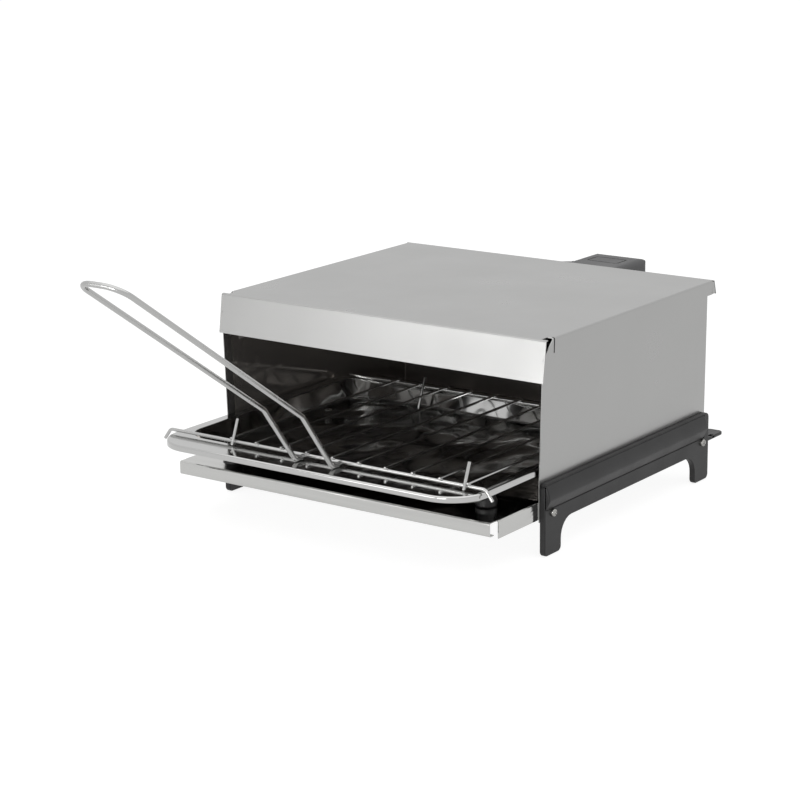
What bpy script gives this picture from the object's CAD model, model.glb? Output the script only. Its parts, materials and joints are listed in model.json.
# %% [markdown]
# # An electric tabletop grill
# The grill is a folded stainless hood on two black moulded rails. A polished drip pan stands half drawn
# out of it, and a wire rack with a long loop handle stands in the pan. The solids come from the packed
# frame, in metres. This lesson gives them their finishes and models afresh the pieces whose roundness
# shows: the bent wires, the drawn pan, the mouldings and the screw heads.

# %% Load the frame
import json
import math
import bmesh
import bpy
from mathutils import Matrix, Vector


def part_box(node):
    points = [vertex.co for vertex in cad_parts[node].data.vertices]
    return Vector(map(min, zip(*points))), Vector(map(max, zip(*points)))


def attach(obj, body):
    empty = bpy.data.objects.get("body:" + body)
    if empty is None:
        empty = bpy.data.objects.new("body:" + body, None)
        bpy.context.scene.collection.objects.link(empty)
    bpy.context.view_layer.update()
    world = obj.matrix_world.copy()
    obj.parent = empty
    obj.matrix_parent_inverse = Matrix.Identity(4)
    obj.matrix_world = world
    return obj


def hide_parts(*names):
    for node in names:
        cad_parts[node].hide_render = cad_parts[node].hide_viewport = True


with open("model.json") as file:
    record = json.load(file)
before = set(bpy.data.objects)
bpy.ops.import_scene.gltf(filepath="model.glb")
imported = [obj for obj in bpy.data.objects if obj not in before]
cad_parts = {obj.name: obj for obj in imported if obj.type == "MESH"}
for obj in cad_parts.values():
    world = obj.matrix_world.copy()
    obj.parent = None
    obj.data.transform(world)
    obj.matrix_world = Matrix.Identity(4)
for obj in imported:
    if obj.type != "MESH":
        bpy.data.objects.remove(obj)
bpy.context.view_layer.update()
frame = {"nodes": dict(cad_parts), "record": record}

# %% [markdown]
# ## Measuring from the hood's front edge
# A maker measures this grill in millimetres from the hood's front edge, on its middle line, up from the
# table. The rails start at that edge, so their solid says where it lies in the frame.

# %% Places in millimetres
front_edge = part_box("left_side_rail")[0].y


def at(x, y, z):
    """A place in millimetres from the hood's front edge, as a vector in the frame's metres."""
    return Vector((x / 1000, front_edge + y / 1000, z / 1000))


print("front edge at", round(front_edge, 5))

# %% [markdown]
# ## The camera
# The photograph looks from the right front, a little from above, through a long lens, and the camera is
# rolled by less than a degree. The three directions of the camera's own axes make its matrix directly,
# which is plainer than turning it step by step.

# %% Camera
azimuth, elevation, roll = map(math.radians, (35.9734, 14.7137, -0.7088))
level_share = math.cos(elevation)
back = Vector((math.sin(azimuth) * level_share, -math.cos(azimuth) * level_share, math.sin(elevation)))
level = Vector((math.cos(azimuth), math.sin(azimuth), 0))
upright = back.cross(level)
right = level * math.cos(roll) + upright * math.sin(roll)
up = upright * math.cos(roll) - level * math.sin(roll)
camera = bpy.data.objects.new("Camera", bpy.data.cameras.new("Camera"))
bpy.context.collection.objects.link(camera)
turned = Matrix((right, up, back)).transposed().to_4x4()
camera.matrix_world = Matrix.Translation(at(1267.77, -1707.96, 678.43)) @ turned
camera.data.sensor_width = 36
camera.data.lens = 106.085
camera.data.clip_end = 50
bpy.context.scene.camera = camera
bpy.context.scene.view_settings.view_transform = "Standard"
print("camera at", tuple(round(c, 3) for c in camera.location))

# %% [markdown]
# ## Colours and nodes
# Colours are written as sRGB hex values, as a colour picker shows them, and one function makes them
# linear. One more function adds a shader node with its settings and its links, which keeps each finish
# short enough to read.

# %% Helpers for finishes
def linear(hex_colour):
    """An sRGB hex colour as linear red, green, blue and alpha."""
    parts = [int(hex_colour[i:i + 2], 16) / 255 for i in (1, 3, 5)]
    return [c / 12.92 if c <= 0.04045 else ((c + 0.055) / 1.055) ** 2.4 for c in parts] + [1.0]


def feed(node, inputs):
    """Sets a node's inputs to values or links them to sockets. A node stands for its first output."""
    for key, value in inputs.items():
        if isinstance(value, bpy.types.Node):
            value = value.outputs[0]
        if isinstance(value, bpy.types.NodeSocket):
            node.id_data.links.new(value, node.inputs[key])
        else:
            node.inputs[key].default_value = value


def add(tree, kind, inputs=None, **settings):
    """A new node with its properties set and its inputs fed."""
    node = tree.nodes.new(kind)
    for key, value in settings.items():
        setattr(node, key, value)
    feed(node, inputs or {})
    return node


def finish_of(name, colour, metallic, roughness):
    """A material, its tree, its shader and its texture coordinates, ready for detail."""
    material = bpy.data.materials.new(name)
    material.use_nodes = True
    tree = material.node_tree
    shader = tree.nodes["Principled BSDF"]
    feed(shader, {"Base Color": linear(colour), "Metallic": metallic, "Roughness": roughness})
    return material, tree, shader, add(tree, "ShaderNodeTexCoord").outputs


print("mid grey #808080 is", round(linear("#808080")[0], 3), "in linear light")

# %% [markdown]
# ## Stainless sheet
# The hood is cold-rolled stainless sheet with a fine brushed, satin face outside. The inner face is left
# bright from the mill and darkened by heat: under its oxide it mirrors the rack only dimly, and the mouth
# of the grill looks dark. A face is inside where its normal points to the middle of the hood, so one dot
# product tells the two apart. The visor and the rear tabs lie outside the cooking space and keep the satin
# face on both sides, which a second mask by depth takes care of.

# %% Stainless sheet: which faces are inside the hood
satin_tone, oxide_tone = "#b2b2b1", "#9a9591"
hood_middle = at(0, 150, 120)
panel_middle, panel_reach = at(0, 155, 0).y, 0.144
brushed_stainless, tree, shader, place = finish_of("brushed_stainless_sheet", satin_tone, 1.0, 0.3)
outward = add(tree, "ShaderNodeVectorMath", {0: place["Object"], 1: hood_middle}, operation="SUBTRACT")
facing = add(tree, "ShaderNodeVectorMath", {0: outward, 1: place["Normal"]}, operation="DOT_PRODUCT")
inward = add(tree, "ShaderNodeMath", {0: facing.outputs["Value"], 1: 0.0}, operation="LESS_THAN")
spot = add(tree, "ShaderNodeSeparateXYZ", {0: place["Object"]})
depth = add(tree, "ShaderNodeMath", {0: spot.outputs["Y"], 1: panel_middle}, operation="SUBTRACT")
reach = add(tree, "ShaderNodeMath", {0: depth}, operation="ABSOLUTE")
within = add(tree, "ShaderNodeMath", {0: reach, 1: panel_reach}, operation="LESS_THAN")
inside = add(tree, "ShaderNodeMath", {0: inward, 1: within}, operation="MULTIPLY")
print("masked the inside of", brushed_stainless.name)

# %% [markdown]
# Brushing leaves scratches a few hundredths of a millimetre wide and centimetres long, all one way. They
# are drawn half a millimetre wide and about 80 mm long here, so that they still show. Wiping leaves
# softer and brighter clouds some 70 mm wide. Most of a noise lies between 0.3 and 0.7, so that is the
# range from which a roughness is mapped.

# %% Stainless sheet: brushed outside, oxidised inside
noise_range = {"From Min": 0.3, "From Max": 0.7}
grain_place = add(tree, "ShaderNodeMapping", {"Vector": place["Object"], "Scale": (12, 2000, 2000)})
grain = add(tree, "ShaderNodeTexNoise", {"Vector": grain_place, "Scale": 1.0, "Detail": 3.0})
wipe = add(tree, "ShaderNodeTexNoise", {"Vector": place["Object"], "Scale": 14.0, "Detail": 3.0})
satin = add(tree, "ShaderNodeMapRange", {"Value": wipe, **noise_range, "To Min": 0.27, "To Max": 0.34})
sheen = add(tree, "ShaderNodeMix", {0: inside, 2: satin, 3: 0.06}, data_type="FLOAT")
tone = add(tree, "ShaderNodeMix", {0: inside, 6: linear(satin_tone), 7: linear(oxide_tone)}, data_type="RGBA")
oxide = add(tree, "ShaderNodeMix", {0: inside, 2: 1.0, 3: 0.72}, data_type="FLOAT")
scratch_depth = add(tree, "ShaderNodeMix", {0: inside, 2: 0.06, 3: 0.012}, data_type="FLOAT")
scratches = add(tree, "ShaderNodeBump", {"Height": grain, "Strength": scratch_depth, "Distance": 0.0002})
feed(shader, {"Roughness": sheen, "Base Color": tone.outputs[2], "Metallic": oxide, "Normal": scratches})
print("made", brushed_stainless.name)

# %% [markdown]
# ## Polished stainless
# The drip pan is bright sheet, close to a mirror. A drawn basin is never quite flat, so a slow bump some
# 65 mm wide makes its reflections wander by a few degrees. The ledge round it is stiffer and hardly
# buckles, so a mask keeps the bump to the basin. Cleaning leaves a haze in patches about 10 mm wide.

# %% Polished stainless for the pan
basin_middle, basin_reach, basin_half_width = at(0, 51.5, 0).y, 0.136, 0.167
polished_stainless, tree, shader, place = finish_of("polished_stainless_pan", "#c6c6c5", 1.0, 0.1)
spot = add(tree, "ShaderNodeSeparateXYZ", {0: place["Object"]})
aside = add(tree, "ShaderNodeMath", {0: spot.outputs["X"]}, operation="ABSOLUTE")
depth = add(tree, "ShaderNodeMath", {0: spot.outputs["Y"], 1: basin_middle}, operation="SUBTRACT")
reach = add(tree, "ShaderNodeMath", {0: depth}, operation="ABSOLUTE")
within_sides = add(tree, "ShaderNodeMath", {0: aside, 1: basin_half_width}, operation="LESS_THAN")
within_ends = add(tree, "ShaderNodeMath", {0: reach, 1: basin_reach}, operation="LESS_THAN")
in_basin = add(tree, "ShaderNodeMath", {0: within_sides, 1: within_ends}, operation="MULTIPLY")
buckling = add(tree, "ShaderNodeMapRange", {"Value": in_basin, "To Min": 0.06, "To Max": 0.7})
drawn = add(tree, "ShaderNodeTexNoise", {"Vector": place["Object"], "Scale": 15.0, "Detail": 0.6})
cleaned = add(tree, "ShaderNodeTexNoise", {"Vector": place["Object"], "Scale": 90.0, "Detail": 4.0})
haze = add(tree, "ShaderNodeMapRange", {
    "Value": cleaned, "From Min": 0.35, "From Max": 0.75, "To Min": 0.07, "To Max": 0.16})
waves = add(tree, "ShaderNodeBump", {"Height": drawn, "Strength": buckling, "Distance": 0.018})
feed(shader, {"Roughness": haze, "Normal": waves})
print("made", polished_stainless.name)

# %% [markdown]
# The base plate is bright from the rolls. Rolling leaves fine marks along the sheet, drawn under 2 mm wide,
# and the sheet buckles in long streaks, some 200 mm long and 6 to 17 mm wide.

# %% Bright rolled stainless for the base
bright_stainless, tree, shader, place = finish_of("bright_rolled_stainless", "#cdcdcb", 1.0, 0.12)
roll_place = add(tree, "ShaderNodeMapping", {"Vector": place["Object"], "Scale": (8, 600, 600)})
roll_marks = add(tree, "ShaderNodeTexNoise", {"Vector": roll_place, "Scale": 1.0, "Detail": 2.0})
buckle_place = add(tree, "ShaderNodeMapping", {"Vector": place["Object"], "Scale": (5, 60, 160)})
buckle = add(tree, "ShaderNodeTexNoise", {"Vector": buckle_place, "Scale": 1.0, "Detail": 2.0})
bright = add(tree, "ShaderNodeMapRange", {"Value": roll_marks, "To Min": 0.09, "To Max": 0.17})
waves = add(tree, "ShaderNodeBump", {"Height": buckle, "Strength": 0.3, "Distance": 0.003})
feed(shader, {"Roughness": bright, "Normal": waves})
print("made", bright_stainless.name)

# %% [markdown]
# ## Plated wire and steel
# The rack is drawn steel wire, welded and then plated, so it is bright but a little softer than a mirror,
# with cloudy patches of about 5 mm. The handle's grip is worn duller by use, in patches of about 17 mm.
# Fasteners are zinc plated, duller still and a touch warmer, with crystals of over a millimetre. The three
# differ only in tone, in the size of their patches and in how rough these get, so one loop makes them.

# %% Bright plated wire, worn wire and zinc plate
plated = {}
for name, colour, rough, scale, detail, span in (
    ("bright_plated_wire", "#c2c2c1", 0.16, 220.0, 3.0, {**noise_range, "To Min": 0.12, "To Max": 0.22}),
    ("worn_plated_wire", "#c0c0bf", 0.22, 60.0, 4.0, {**noise_range, "To Min": 0.16, "To Max": 0.3}),
    ("zinc_plated_steel", "#a9a8a5", 0.25, 700.0, 2.0, {"To Min": 0.18, "To Max": 0.36}),
):
    plated[name], tree, shader, place = finish_of(name, colour, 1.0, rough)
    patches = add(tree, "ShaderNodeTexNoise", {"Vector": place["Object"], "Scale": scale, "Detail": detail})
    feed(shader, {"Roughness": add(tree, "ShaderNodeMapRange", {"Value": patches, **span})})
rack_wire, grip_wire, zinc_plate = plated.values()
print("made", *plated)

# %% [markdown]
# The back panel is plain steel sheet that the heat has browned, in clouds some 50 mm wide. Its oxide is
# part matt, so it is not a full metal to the eye.

# %% Heat-darkened steel
dark_steel, tree, shader, place = finish_of("heat_darkened_steel", "#8f8a86", 0.65, 0.16)
tint = add(tree, "ShaderNodeTexNoise", {"Vector": place["Object"], "Scale": 20.0, "Detail": 3.0})
tones = add(tree, "ShaderNodeMix", {0: tint, 6: linear("#827d79"), 7: linear(oxide_tone)}, data_type="RGBA")
feed(shader, {"Base Color": tones.outputs[2]})
print("made", dark_steel.name)

# %% [markdown]
# ## Mouldings
# The rails, feet and gland are black phenolic, a hard heat-proof moulding with a satin skin. The terminal
# box is dark grey. A moulded skin has a very fine texture from the tool, drawn at about a third of a
# millimetre, and flow marks of a few centimetres.

# %% Black and grey mouldings
mouldings = {}
for name, colour, other, rough in (
    ("black_phenolic_moulding", "#0e0e0f", "#161516", 0.4),
    ("grey_heatproof_moulding", "#4b4b4c", "#565657", 0.48),
):
    mouldings[name], tree, shader, place = finish_of(name, colour, 0.0, rough)
    skin = add(tree, "ShaderNodeTexNoise", {"Vector": place["Object"], "Scale": 3000.0, "Detail": 2.0})
    flow = add(tree, "ShaderNodeTexNoise", {"Vector": place["Object"], "Scale": 30.0, "Detail": 3.0})
    tones = add(tree, "ShaderNodeMix", {0: flow, 6: linear(colour), 7: linear(other)}, data_type="RGBA")
    gloss = add(tree, "ShaderNodeMapRange", {
        "Value": flow, **noise_range, "To Min": rough - 0.05, "To Max": rough + 0.06})
    texture = add(tree, "ShaderNodeBump", {"Height": skin, "Strength": 0.15, "Distance": 0.0002})
    feed(shader, {"Base Color": tones.outputs[2], "Roughness": gloss, "Normal": texture})
black_moulding, grey_moulding = mouldings.values()
print("made", *mouldings)

# %% [markdown]
# ## Small fittings
# Inside, ceramic bushings and a ceramic block carry brass terminals, under a reflector and next to the
# heating tube. They hardly show, but each has its own stuff: a speckled unglazed ceramic, brass with a
# slight tarnish, pressed fibre board, the sleeve of the leads, the tube's oxidised sheath and dulled
# aluminium. Each is two tones mixed by a noise: about a millimetre fine on ceramic and sleeve, 2 mm on
# board, 3 mm on brass, and 25 to 35 mm for the clouds that heat leaves.

# %% Ceramic, brass, board, sleeve, sheath and reflector
fittings = {}
for name, colour, other, metallic, rough, scale in (
    ("unglazed_ceramic", "#ded8cc", "#efe9df", 0.0, 0.6, 900.0),
    ("tarnished_brass", "#b08d48", "#d3b36b", 1.0, 0.3, 300.0),
    ("pressed_fibre_board", "#8f7148", "#a88a5e", 0.0, 0.8, 500.0),
    ("heatproof_sleeve", "#8c3b26", "#a34a33", 0.0, 0.55, 800.0),
    ("oxidised_heater_sheath", "#4b4643", "#6e655f", 1.0, 0.38, 40.0),
    ("oxidised_aluminium_reflector", "#b0aeac", "#c4c2c0", 0.6, 0.24, 30.0),
):
    fittings[name], tree, shader, place = finish_of(name, colour, metallic, rough)
    speckle = add(tree, "ShaderNodeTexNoise", {"Vector": place["Object"], "Scale": scale, "Detail": 3.0})
    tones = add(tree, "ShaderNodeMix", {0: speckle, 6: linear(colour), 7: linear(other)}, data_type="RGBA")
    feed(shader, {"Base Color": tones.outputs[2]})
print("made", *fittings)

# %% [markdown]
# ## Dressing the solids
# Each solid takes the finish of its material slot in the record. The solids keep their own meshes, only
# the material in the slot changes.

# %% Finishes on the solids
finish_for_slot = {
    "brushed_stainless": brushed_stainless,
    "satin_steel": dark_steel,
    "bright_stainless": bright_stainless,
    "polished_stainless": polished_stainless,
    "bright_reflector": fittings["oxidised_aluminium_reflector"],
    "rack_wire": rack_wire,
    "heater_sheath": fittings["oxidised_heater_sheath"],
    "plated_steel": zinc_plate,
    "black_moulding": black_moulding,
    "grey_moulding": grey_moulding,
    "white_ceramic": fittings["unglazed_ceramic"],
    "brass_fittings": fittings["tarnished_brass"],
    "insulating_board": fittings["pressed_fibre_board"],
    "lead_insulation": fittings["heatproof_sleeve"],
}
for part in frame["record"]["subparts"]:
    solid = frame["nodes"][part["node"]]
    solid.data.materials.clear()
    solid.data.materials.append(finish_for_slot[part["material_slot"]])

# %% [markdown]
# ## Bending wire
# A wire is bent over a round tool: it runs straight, swings round the tool, and runs straight again. The
# same two moves make its mesh. A ring of edges is extruded along the straight, and bmesh's spin turns it
# round the bend's axis. A curve with a bevel would do too, but its ring twists where two bends lie in
# different planes.

# %% Helpers: extrude, spin, run a wire
def only(kind, items):
    """The items of one kind, such as bmesh.types.BMVert, in their order and each once."""
    return [item for item in dict.fromkeys(items) if isinstance(item, kind)]


def carry(bm, edges, way):
    """Extrudes a section's edges along a straight way and returns the new section's edges."""
    made = bmesh.ops.extrude_edge_only(bm, edges=edges)["geom"]
    verts = only(bmesh.types.BMVert, made)
    bmesh.ops.translate(bm, verts=verts, vec=way)
    ends = set(verts)
    return [edge for edge in only(bmesh.types.BMEdge, made) if set(edge.verts) <= ends]


def swing(bm, edges, centre, axis, angle, steps):
    """Turns a section's edges round an axis and returns the new section's edges."""
    made = bmesh.ops.spin(bm, geom=edges, cent=centre, axis=axis, angle=angle, steps=steps)
    return only(bmesh.types.BMEdge, made["geom_last"])


def run_wire(bm, points, radii, diameter, sides=20):
    """Runs a round wire through points, bent at each inner one, with softened ends."""
    heading = (points[1] - points[0]).normalized()
    turn = Matrix.Translation(points[0]) @ heading.to_track_quat("Z", "Y").to_matrix().to_4x4()
    ring = bmesh.ops.create_circle(bm, segments=sides, radius=diameter / 2, matrix=turn)["verts"]
    section = only(bmesh.types.BMEdge, [edge for vert in ring for edge in vert.link_edges])
    first, here = section, points[0]
    for corner, after, radius in zip(points[1:-1], points[2:], radii):
        heading, leaving = (corner - here).normalized(), (after - corner).normalized()
        angle = heading.angle(leaving)
        cut = radius * math.tan(angle / 2)
        section = carry(bm, section, corner - heading * cut - here)
        axis = heading.cross(leaving).normalized()
        centre = corner - heading * cut + axis.cross(heading) * radius
        section = swing(bm, section, centre, axis, angle, max(6, round(math.degrees(angle) / 7)))
        here = corner + leaving * cut
    last = carry(bm, section, points[-1] - here)
    for ends in (first, last):
        bmesh.ops.edgeloop_fill(bm, edges=ends)
        bmesh.ops.bevel(bm, geom=ends, offset=diameter * 0.16, segments=2, profile=0.5,
                        affect="EDGES", material=-1)


# %% [markdown]
# A finished bmesh becomes a piece: its doubles are merged, its faces turned outwards, and it is shaded
# smooth up to a crease of 35 degrees. Weighted normals keep the large flat faces flat next to a rounded
# edge. The piece rides on one of the frame's bodies.

# %% Helper: keep a piece
def piece_from(bm, name, material, body, nodes=()):
    """Closes a bmesh into a smooth-shaded piece that rides on a body and may stand for CAD nodes."""
    bmesh.ops.remove_doubles(bm, verts=bm.verts, dist=1e-6)
    bmesh.ops.recalc_face_normals(bm, faces=bm.faces)
    mesh = bpy.data.meshes.new(name)
    bm.to_mesh(mesh)
    bm.free()
    mesh.shade_smooth()
    mesh.set_sharp_from_angle(angle=math.radians(35))
    mesh.materials.append(material)
    piece = bpy.data.objects.new(name, mesh)
    bpy.context.collection.objects.link(piece)
    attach(piece, body)
    even = piece.modifiers.new("flat_stays_flat", "WEIGHTED_NORMAL")
    even.keep_sharp = True
    if nodes:
        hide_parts(*nodes)
    print(name, "faces:", len(mesh.polygons))


# %% [markdown]
# ## The rack
# Ten thin bars lie on two cross rods, nearer to the right. The front rod's ends hook out over the pan's
# skirt. A cylinder would do for a bar, but the wire helper also softens its cut ends.

# %% Rods and bars
rod_wire, bar_wire, leg_wire = 0.0032, 0.0025, 0.003
rod_z, rod_front, rod_rear, rear_end = 84.55, -85, 180, 166.05
hook_x, hook_end, hook_drop, hook_bend = 180, 187.5, 10, 0.006
bm = bmesh.new()
hooked = [at(-hook_end, rod_front, rod_z - hook_drop), at(-hook_x, rod_front, rod_z),
          at(hook_x, rod_front, rod_z), at(hook_end, rod_front, rod_z - hook_drop)]
run_wire(bm, hooked, [hook_bend, hook_bend], rod_wire)
run_wire(bm, [at(-rear_end, rod_rear, rod_z), at(rear_end, rod_rear, rod_z)], [], rod_wire)
piece_from(bm, "cross_rods", rack_wire, "rack", ["rack_rods"])

bar_z, bar_gap, bar_past = 87.42, 29.6, 3
bar_places = [bar_gap * (i - 3.5) for i in range(10)]
bm = bmesh.new()
for x in bar_places:
    run_wire(bm, [at(x, rod_front - bar_past, bar_z), at(x, rod_rear + bar_past, bar_z)], [], bar_wire)
piece_from(bm, "grid_bars", rack_wire, "rack", ["rack_bars"])

# %% [markdown]
# Two legs lean against the front rod, inside the outermost bars, and stand on the pan's ledge. Two more
# lean against the rear rod and stand on the pan's floor. Resistance welding leaves a small swelling where
# two wires cross, which a small sphere makes, sunk into both.

# %% Legs and weld swellings
leg_lean, leg_off, weld_off, weld_z = math.tan(math.radians(22)), 3.365, 1.65, 86.1
legs = [(x, rod_front, 81.76, 105.42) for x in (-100.83, 160.03)]
legs += [(x, rod_rear, 63.96, 93.92) for x in (-71.23, 130.43)]
bm = bmesh.new()
for x, rod, low, high in legs:
    run_wire(bm, [at(x, rod - leg_off + (z - rod_z) * leg_lean, z) for z in (low, high)], [], leg_wire)
piece_from(bm, "rack_legs_wire", rack_wire, "rack", ["rack_legs"])

bm = bmesh.new()
crossings = [(x, y, weld_z) for x in bar_places for y in (rod_front, rod_rear)]
crossings += [(x, rod - weld_off, rod_z) for x, rod, low, high in legs]
for crossing in crossings:
    bmesh.ops.create_icosphere(bm, subdivisions=2, radius=0.0017, matrix=Matrix.Translation(at(*crossing)))
piece_from(bm, "weld_swellings", rack_wire, "rack")

# %% [markdown]
# ## The loop handle
# One length of thicker wire makes the handle. Its feet lie on the pan's ledge, butted and welded to the
# front rod. From the heel it rises steeply, bends to a flatter slope, goes round the loop's end and comes
# back the same way. The two sides stand a little further apart at the far end.

# %% Handle
def sloped(y, z, length, degrees):
    """The place a length further forward and up at a slope, in millimetres."""
    return y - length * math.cos(math.radians(degrees)), z + length * math.sin(math.radians(degrees))


handle_middle, foot_half, bend_half, loop_half = 3, 21, 21.6, 24
foot, heel = (-86.62, 83.7), (-99.5, 83.7)
bend = sloped(*heel, 70, 53)
loop = sloped(*bend, 278, 34.3)
stations = ((foot_half, foot), (foot_half, heel), (bend_half, bend), (loop_half, loop))
way_out = [at(handle_middle - half, *station) for half, station in stations]
way_back = [at(handle_middle + half, *station) for half, station in reversed(stations)]
bm = bmesh.new()
run_wire(bm, way_out + way_back, [0.007, 0.014, 0.018, 0.018, 0.014, 0.007], 0.005, sides=28)
for x in (handle_middle - foot_half, handle_middle + foot_half):
    weld = Matrix.Translation(at(x, -86.9, 84.3))
    bmesh.ops.create_icosphere(bm, subdivisions=2, radius=0.0022, matrix=weld)
piece_from(bm, "loop_handle", grip_wire, "rack", ["rack_handle"])

# %% [markdown]
# ## The drip pan
# The pan is drawn from one sheet: a basin with leaning walls, a flat ledge that is widest at the front, and
# a skirt turned down round the outside. The skirt and the basin are two sections, each swung round its own
# corners, because their corner radii differ. The ledge is then filled between them, above and below, and
# two faces close the floor. A section starts as one vertex: extruded it draws a line, spun it draws an arc.

# %% Helpers: a section drawn from a vertex, and its way round the pan
def draw_line(bm, vert, way):
    """Extrudes a vertex along a way in millimetres and returns the new end."""
    end = bmesh.ops.extrude_vert_indiv(bm, verts=[vert])["verts"][0]
    end.co += Vector(way) / 1000
    return end


def draw_arc(bm, vert, centre, degrees, axis=(0, 1, 0), steps=6):
    """Spins a vertex about an axis and returns the new end."""
    angle = math.radians(degrees)
    made = bmesh.ops.spin(bm, geom=[vert], cent=centre, axis=axis, angle=angle, steps=steps)
    return only(bmesh.types.BMVert, made["geom_last"])[0]


def drawn_after(bm, earlier):
    """Joins the ends of what was drawn and returns the edges that an earlier set does not hold."""
    bmesh.ops.remove_doubles(bm, verts=bm.verts, dist=1e-6)
    return [edge for edge in bm.edges if edge not in earlier]


def round_trip(bm, section, half, front, rear, radius):
    """Takes a section drawn at the left front corner once round a rectangle with round corners."""
    across, along = half - radius, rear - front - 2 * radius
    near, far = front + radius, rear - radius
    corners = (-across, near), (across, near), (across, far), (-across, far)
    runs = (2 * across, 0), (0, along), (-2 * across, 0), (0, -along)
    for (x, y), run in zip(corners, runs):
        section = swing(bm, section, at(x, y, 0), (0, 0, 1), math.pi / 2, 14)
        section = carry(bm, section, Vector((*run, 0)) / 1000)


# %% Pan: the skirt's and the basin's sections, taken round
ledge_z, floor_z, sheet = 81.05, 63.25, 0.7
lip_bend, floor_bend, skirt_drop, floor_start = 2, 4.3, 3.5, 8
skirt_half, skirt_front, skirt_rear, skirt_corner = 178.5, -116.5, 199, 38
basin_half, basin_front, basin_rear, basin_corner = 167.5, -85, 188, 28
wall_degrees = 25
wall_sin, wall_cos = math.sin(math.radians(wall_degrees)), math.cos(math.radians(wall_degrees))
bends = lip_bend + floor_bend
wall = (ledge_z - floor_z - bends + bends * wall_sin) / wall_cos
floor_in = bends * wall_cos + wall * wall_sin

bm = bmesh.new()
skirt_x, skirt_y, lip_z = lip_bend - skirt_half, skirt_front + skirt_corner, ledge_z - lip_bend
end = bm.verts.new(at(skirt_x, skirt_y, ledge_z - sheet))
end = draw_arc(bm, end, at(skirt_x, skirt_y, lip_z), -90)
for way in ((0, 0, -skirt_drop), (-sheet, 0, 0), (0, 0, skirt_drop)):
    end = draw_line(bm, end, way)
draw_arc(bm, end, at(skirt_x, skirt_y, lip_z), 90)
round_trip(bm, drawn_after(bm, set()), skirt_half, skirt_front, skirt_rear, skirt_corner)

skirt = set(drawn_after(bm, set()))
basin_y = basin_front + basin_corner
for below in (0, sheet):
    end = bm.verts.new(at(-basin_half, basin_y, ledge_z - below))
    end = draw_arc(bm, end, at(-basin_half, basin_y, lip_z), 90 - wall_degrees)
    end = draw_line(bm, end, (wall * wall_sin, 0, -wall * wall_cos))
    end = draw_arc(bm, end, at(floor_in - basin_half, basin_y, floor_z + floor_bend), wall_degrees - 90)
    draw_line(bm, end, (floor_start, 0, 0))
round_trip(bm, drawn_after(bm, skirt), basin_half, basin_front, basin_rear, basin_corner)
print("pan's skirt and basin:", len(bm.faces), "faces")

# %% Pan: the ledge and the floor, filled
bmesh.ops.remove_doubles(bm, verts=bm.verts, dist=1e-6)
open_edges = [edge for edge in bm.edges if edge.is_boundary]


def open_at(z):
    """The pan's open edges at a height in millimetres."""
    return [edge for edge in open_edges if abs(edge.verts[0].co.z * 1000 - z) < 0.1]


for below in (0, sheet):
    bmesh.ops.triangle_fill(bm, edges=open_at(ledge_z - below), use_beauty=True, normal=(0, 0, 1))
for below in (0, sheet):
    bmesh.ops.edgeloop_fill(bm, edges=open_at(floor_z - below))
piece_from(bm, "drawn_pan", polished_stainless, "pan", ["drip_pan"])

# %% [markdown]
# ## The side rails
# Each rail is a black moulding: a plate with two legs and an arch, a grip band along its face and a lug
# that keeps the grill off a wall. Each of them starts as an outline that is filled, extruded and softened
# along its hard edges. The outline is drawn like the pan's section, as lines and arcs.

# %% Helpers: a straight outline and a softened slab
def outline_of(bm, start, ways):
    """Draws lines one after another from a start, closes them and returns their edges."""
    earlier = set(bm.edges)
    first = end = bm.verts.new(start)
    for way in ways:
        end = draw_line(bm, end, way)
    bm.edges.new((end, first))
    return drawn_after(bm, earlier)


def slab(bm, outline, way, soften):
    """Fills an outline of edges, extrudes it along a way and rounds the hard edges, in millimetres."""
    face = bmesh.ops.edgeloop_fill(bm, edges=outline)["faces"][0]
    made = bmesh.ops.extrude_face_region(bm, geom=[face])["geom"]
    verts = only(bmesh.types.BMVert, made)
    bmesh.ops.translate(bm, verts=verts, vec=Vector(way) / 1000)
    around = only(bmesh.types.BMEdge, [edge for vert in verts for edge in vert.link_edges] + list(face.edges))
    bmesh.ops.recalc_face_normals(bm, faces=bm.faces)
    hard = [edge for edge in around if edge.calc_face_angle(0) > 0.5]
    bmesh.ops.bevel(bm, geom=hard, offset=soften / 1000, segments=4, profile=0.5,
                    affect="EDGES", material=-1)


# %% [markdown]
# The plate's outline starts at the front sole and goes round the arch and the two legs: a line, then an arc,
# eight times. The band's face swells out as part of a large arc. The lug is a flat plate with round
# corners, and a short neck joins it to the rail.

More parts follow.
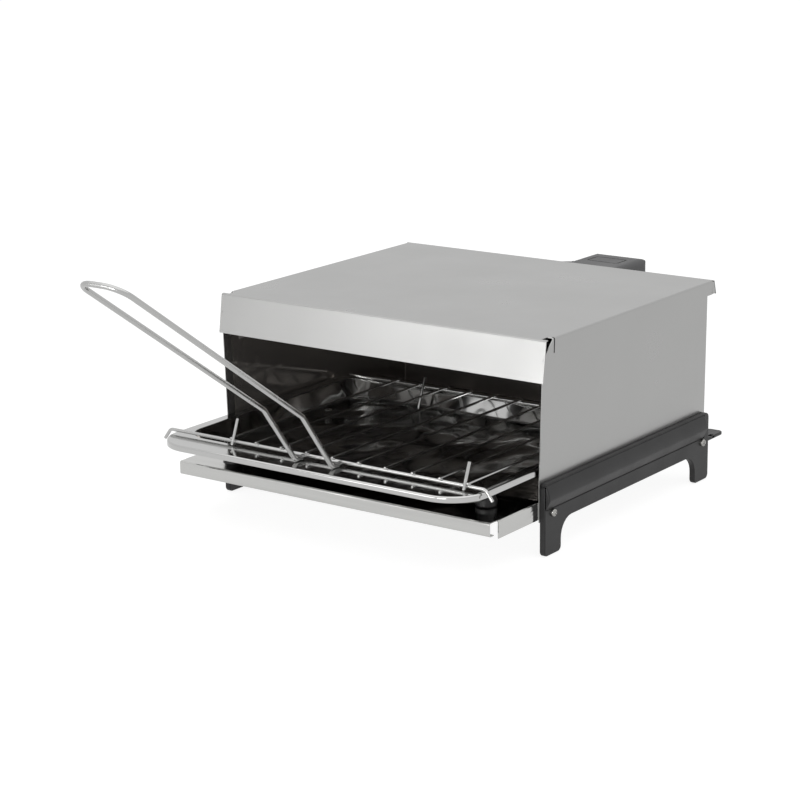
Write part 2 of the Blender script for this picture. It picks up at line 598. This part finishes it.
# %% Rails with legs, grip band and lug
rail_in, rail_thick = 181.05, 6
rail_out = rail_in + rail_thick
plate_outline = (
    ((0, 18, 0), (0, 5), 90),
    ((0, 0, 6.5), (18, 0), -90),
    ((0, 212, 0), (0, -18), -90),
    ((0, 0, -6.5), (5, 0), 90),
    ((0, 18, 0), (0, 5), 90),
    ((0, 0, 58), (-5, 0), 90),
    ((0, -294, 0), (0, -5), 90),
    ((0, 0, -58), (5, 0), 90),
)
band_front, band_low, band_long, band_sunk = 0.5, 43.6, 293.5, 1
lug_low, lug_thick = 37.8, 3.4
for side, name, node in ((-1, "left_rail", "left_side_rail"), (1, "right_rail", "right_side_rail")):
    bm = bmesh.new()
    end = bm.verts.new(at(side * rail_in, 5, 0))
    for run, to_centre, degrees in plate_outline:
        end = draw_line(bm, end, run)
        end = draw_arc(bm, end, end.co + Vector((0, *to_centre)) / 1000, degrees, (1, 0, 0), 8)
    slab(bm, drawn_after(bm, set()), (side * rail_thick, 0, 0), 1.2)

    earlier = set(bm.edges)
    first = end = bm.verts.new(at(side * (rail_out - band_sunk), band_front, band_low))
    for way in ((side * band_sunk, 0, 0), (side * 4.5, 0, 9.4)):
        end = draw_line(bm, end, way)
    end = draw_arc(bm, end, at(side * (rail_out - 21.1), band_front, 53), side * -34.5, steps=8)
    end = draw_line(bm, end, (side * -band_sunk, 0, 0))
    bm.edges.new((end, first))
    slab(bm, drawn_after(bm, earlier), (0, band_long, 0), 1.6)

    earlier = set(bm.edges)
    lug_ways = ((side * 18.5, 0, 0), (0, 28, 0), (side * -18.5, 0, 0))
    lug = outline_of(bm, at(side * 168.05, 308, lug_low), lug_ways)
    corners = only(bmesh.types.BMVert, [vert for edge in lug for vert in edge.verts])
    bmesh.ops.bevel(bm, geom=corners, offset=0.005, segments=6, profile=0.5, affect="VERTICES", material=-1)
    slab(bm, drawn_after(bm, earlier), (0, 0, lug_thick), 0.8)
    neck_ways = ((side * 5.5, 0, 0), (0, 15, 0), (side * -5.5, 0, 0))
    neck = outline_of(bm, at(side * rail_in, 303, lug_low), neck_ways)
    slab(bm, neck, (0, 0, lug_thick), 0.8)
    piece_from(bm, name, black_moulding, "frame", [node])

# %% [markdown]
# ## The rail screws
# A pan-head screw holds each end of a rail. Its head starts as a square grid that is pressed into a disc, so
# its middle cells make the cross for the driver, which is pushed in. The rim is then drawn out and closed.

# %% Screws
head_radius, head_high, head_crown, cross_deep = 2.9, 3.15, 0.55, 0.0014
rim_steps = ((1.18, -0.5), (1.105, -0.9), (1.0, -1.15))
bm = bmesh.new()
for side, y in ((-1, 13.5), (-1, 290.5), (1, 13.5), (1, 290.5)):
    head = bmesh.ops.create_grid(bm, x_segments=5, y_segments=5, size=1.0)["verts"]
    faces = only(bmesh.types.BMFace, [face for vert in head for face in vert.link_faces])
    rim = only(bmesh.types.BMEdge, [edge for face in faces for edge in face.edges if edge.is_boundary])
    cross = [face for face in faces if face.calc_center_median().length < 0.5]
    for vert in head:
        reach = max(abs(vert.co.x), abs(vert.co.y))
        flat = vert.co * reach / max(vert.co.length, 1e-9) * head_radius
        vert.co = Vector((flat.x, flat.y, head_high - head_crown * reach ** 2)) / 1000
    low = only(bmesh.types.BMVert, bmesh.ops.extrude_face_region(bm, geom=cross)["geom"])
    bmesh.ops.translate(bm, verts=low, vec=(0, 0, -cross_deep))
    screw = head + low
    for wide, down in rim_steps:
        rim = carry(bm, rim, Vector((0, 0, down)) / 1000)
        ring = only(bmesh.types.BMVert, [vert for edge in rim for vert in edge.verts])
        bmesh.ops.scale(bm, verts=ring, vec=(wide, wide, 1))
        screw += ring
    bmesh.ops.edgeloop_fill(bm, edges=rim)
    shank = bmesh.ops.create_cone(bm, cap_ends=True, segments=20, radius1=0.002, radius2=0.002, depth=0.0146)
    bmesh.ops.translate(bm, verts=shank["verts"], vec=(0, 0, -0.0069))
    turn = Matrix.Translation(at(side * 187.1, y, 39.5)) @ Matrix.Rotation(side * math.pi / 2, 4, "Y")
    bmesh.ops.transform(bm, matrix=turn, verts=only(bmesh.types.BMVert, screw + shank["verts"]))
piece_from(bm, "cross_head_screws", zinc_plate, "frame", ["rail_screws"])

# %% [markdown]
# ## The rear corners of the hood
# Behind the side panels the fold of the top leaves a narrow gap at each rear corner. A small tab of the side
# panel's sheet closes it. Its outline follows the lean of the rear lip.

# %% Rear tabs
bm = bmesh.new()
for side in (-1, 1):
    tab = outline_of(bm, at(side * 184.9, 309.5, 198.6), ((0, 3, 0), (0, 3.2, -12.2), (0, -6.2, 0)))
    slab(bm, tab, (side * -0.8, 0, 0), 0.2)
piece_from(bm, "rear_corner_tabs", brushed_stainless, "frame")

# %% [markdown]
# ## The stage
# A pale floor and a white surround, as on a product table. The floor gives the camera most of its white by
# itself and the rest by the light that falls on it, so that the shadow under the grill stays soft. The
# metal sees a little less glow, because close to the grill a real table is darker. The floor lies a hair
# under the soles.

# %% Floor
bm = bmesh.new()
bmesh.ops.create_grid(bm, x_segments=1, y_segments=1, size=6.0)
bmesh.ops.translate(bm, verts=bm.verts, vec=(0, 0, -0.0004))
floor_mesh = bpy.data.meshes.new("floor")
bm.to_mesh(floor_mesh)
bm.free()
floor = bpy.data.objects.new("floor", floor_mesh)
bpy.context.collection.objects.link(floor)
floor_white = bpy.data.materials.new("pale_table")
floor_white.use_nodes = True
tree = floor_white.node_tree
tree.nodes.remove(tree.nodes["Principled BSDF"])
ray = add(tree, "ShaderNodeLightPath").outputs
direct = add(tree, "ShaderNodeMath", {0: ray["Is Camera Ray"], 1: ray["Is Glossy Ray"]}, operation="MAXIMUM")
seen = add(tree, "ShaderNodeMath", {0: direct, 1: ray["Is Transmission Ray"]}, operation="MAXIMUM")
brightness = add(tree, "ShaderNodeMapRange", {"Value": ray["Is Camera Ray"], "To Min": 0.6, "To Max": 0.86})
glow = add(tree, "ShaderNodeEmission", {"Color": linear("#ffffff"), "Strength": brightness})
matt = add(tree, "ShaderNodeBsdfDiffuse", {"Color": linear("#949494")})
both = add(tree, "ShaderNodeAddShader", {0: glow, 1: matt})
plain = add(tree, "ShaderNodeBsdfDiffuse", {"Color": linear("#d8d8d8")})
mixed = add(tree, "ShaderNodeMixShader", {0: seen, 1: plain, 2: both})
feed(tree.nodes["Material Output"], {"Surface": mixed})
floor.data.materials.append(floor_white)
print("laid the", floor.name)

# %% [markdown]
# The camera sees a white surround. The metal mirrors one that is a little off white, as a studio's walls
# are, and the rest of the light from it is about half as strong. A wide lamp hangs above, a second one
# shines low into the grill's mouth, and a third stands at the left front, where the visor mirrors it.

# %% Surround and lamps
world = bpy.data.worlds.new("white_surround")
bpy.context.scene.world = world
world.use_nodes = True
tree = world.node_tree
ray = add(tree, "ShaderNodeLightPath").outputs
mirrored = add(tree, "ShaderNodeMath", {
    0: ray["Is Glossy Ray"], 1: ray["Is Transmission Ray"]}, operation="MAXIMUM")
dimmed = add(tree, "ShaderNodeMath", {0: mirrored, 1: 0.8}, operation="MULTIPLY")
seen = add(tree, "ShaderNodeMath", {0: ray["Is Camera Ray"], 1: dimmed}, operation="MAXIMUM")
strength = add(tree, "ShaderNodeMath", {0: seen, 1: 0.55}, operation="MAXIMUM")
feed(tree.nodes["Background"], {"Strength": strength, "Color": linear("#ffffff")})


def lamp(name, place, target, size, watts):
    """A rectangular soft lamp at a place, turned to a target."""
    data = bpy.data.lights.new(name, "AREA")
    data.shape, data.size, data.size_y = "RECTANGLE", *size
    data.energy = watts
    holder = bpy.data.objects.new(name, data)
    bpy.context.collection.objects.link(holder)
    holder.location = place
    holder.rotation_euler = (target - place).to_track_quat("-Z", "Y").to_euler()


lamp("overhead_lamp", Vector((0.1, 0.1, 2.2)), Vector((0, 0.1, 0)), (4.0, 4.0), 26)
lamp("front_fill_lamp", Vector((0.35, -2.2, 0.25)), Vector((0, 0.1, 0.12)), (0.8, 0.8), 14)
lamp("left_front_lamp", Vector((-0.9, -2.3, 0.45)), Vector((0.1, 0.0, 0.15)), (1.1, 0.8), 8)
print("lamps:", len(bpy.data.lights))
